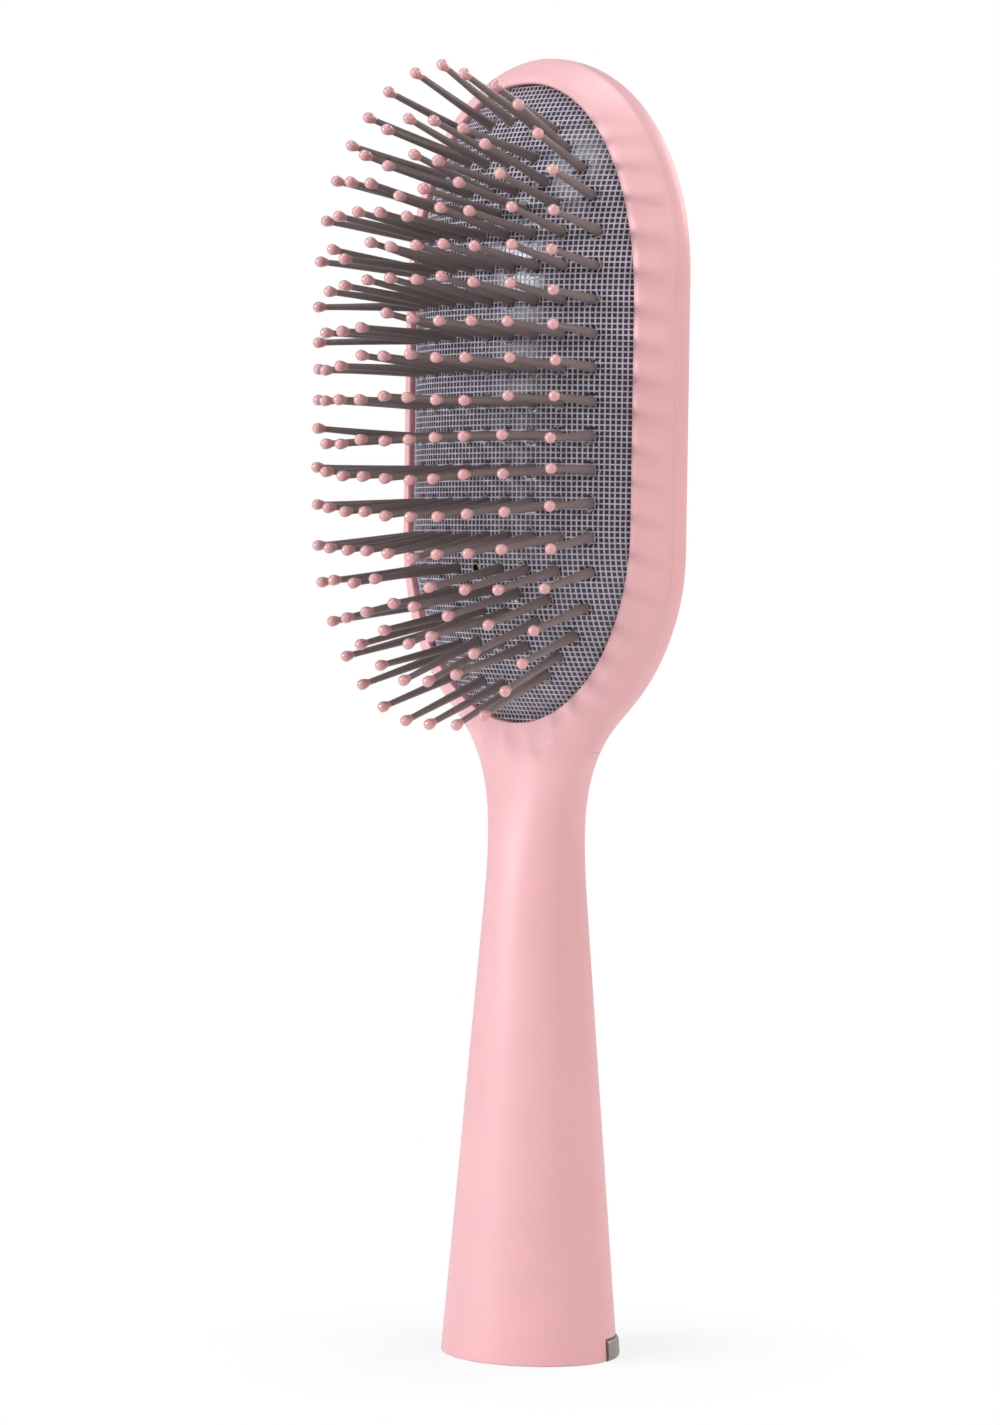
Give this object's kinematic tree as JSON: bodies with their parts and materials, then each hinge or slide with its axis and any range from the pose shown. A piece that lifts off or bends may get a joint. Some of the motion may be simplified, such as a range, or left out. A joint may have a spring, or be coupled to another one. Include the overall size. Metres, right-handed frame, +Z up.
{
  "type": "cushion hair brush",
  "caption": "Paddle-like cushion brush with fanned ball-tipped pins in a crowned net-covered pad and a hollow tapered handle that stands on its foot.",
  "frame": {"origin": "centre of the flat foot, on the handle's axis", "axes": "+Z up along the handle to the head, the pins point along -Y, +X across the head"},
  "size_m": [0.0696, 0.0516, 0.2348],
  "materials": {
    "pink_plastic": "satin",
    "cover_pink": "satin",
    "grey_membrane": "matt net over rubber",
    "ring_plastic": "matt",
    "pin_plastic": "satin",
    "plug_plastic": "satin"
  },
  "bodies": {
    "body": {"handle_frame": "pink_plastic", "back_cover": "cover_pink", "cushion_rim": "grey_membrane", "retaining_ring": "ring_plastic"},
    "cushion": {"pin_row_01": "pin_plastic", "pin_row_02": "pin_plastic", "pin_row_03": "pin_plastic", "pin_row_04": "pin_plastic", "pin_row_05": "pin_plastic", "pin_row_06": "pin_plastic", "pin_row_07": "pin_plastic", "pin_row_08": "pin_plastic", "pin_row_09": "pin_plastic", "pin_row_10": "pin_plastic", "pin_row_11": "pin_plastic", "pin_row_12": "pin_plastic", "pin_row_13": "pin_plastic", "pin_row_14": "pin_plastic", "pin_row_15": "pin_plastic", "pin_row_16": "pin_plastic", "pin_row_17": "pin_plastic", "pin_row_18": "pin_plastic", "pin_row_19": "pin_plastic"},
    "cleaner": {"base_plug": "plug_plastic", "cleaning_rake": "plug_plastic"}
  },
  "joints": [
    {"name": "cushion_press", "type": "slide", "parent": "body", "child": "cushion", "axis": [0, 1, 0], "range_m": [0, 0.003], "stiffness_N_per_m": 4000},
    {"name": "cleaner_pull", "type": "slide", "parent": "body", "child": "cleaner", "axis": [0, 0, -1], "range_m": [0, 0.08]}
  ]
}
